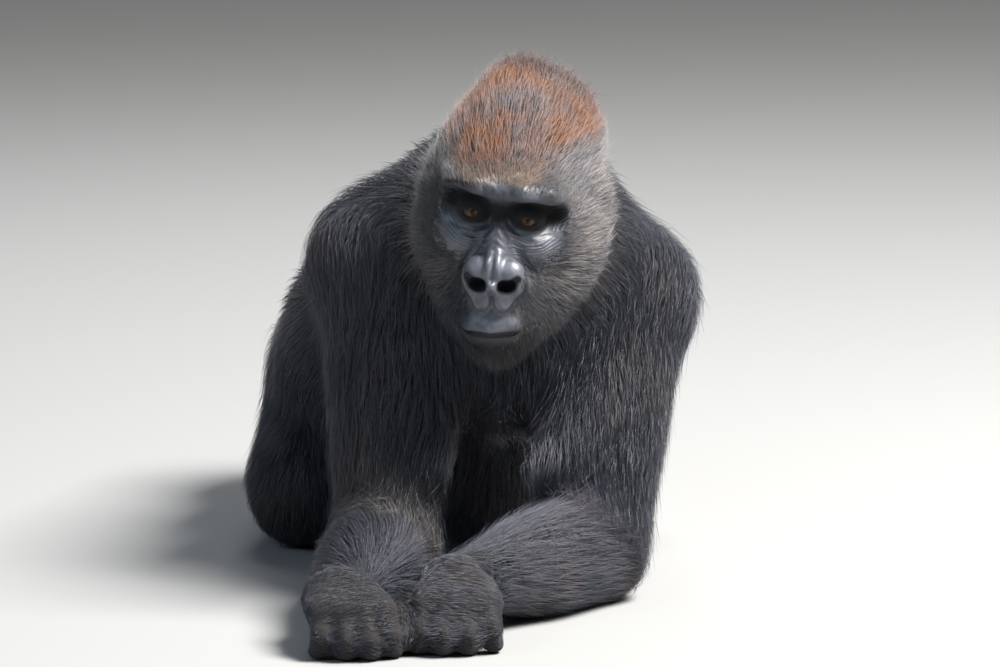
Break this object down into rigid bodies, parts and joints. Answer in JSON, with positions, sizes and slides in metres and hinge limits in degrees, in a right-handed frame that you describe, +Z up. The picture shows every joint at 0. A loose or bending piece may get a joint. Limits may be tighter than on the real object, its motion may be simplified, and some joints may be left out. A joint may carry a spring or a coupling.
{
  "type": "western lowland gorilla",
  "caption": "Life-size still model of a young adult gorilla crouched on its forearms and folded legs, head turned and lowered, with a long dark coat.",
  "frame": {"origin": "the floor under the middle of the animal's box", "axes": "the animal faces -Y, +X is its left side, +Z is up"},
  "size_m": [0.5478, 1.0902, 0.5816],
  "materials": {
    "coat": "long coarse black hair with grey-brown tips, rufous on the crown",
    "skin": "black creased skin with a soft grey sheen",
    "eye": "wet and glossy, amber brown iris in dark brown"
  },
  "bodies": {
    "root": {"head": "coat", "neck": "coat", "upper_arm_right": "coat", "forearm_right": "coat", "hand_right": "skin", "thigh_right": "coat", "shin_right": "coat", "foot_right": "skin", "upper_arm_left": "coat", "forearm_left": "coat", "hand_left": "skin", "thigh_left": "coat", "shin_left": "coat", "foot_left": "skin", "chest": "coat", "rump": "coat", "belly": "coat", "ear_right": "skin", "eye_right": "eye", "ear_left": "skin", "eye_left": "eye"}
  },
  "joints": []
}
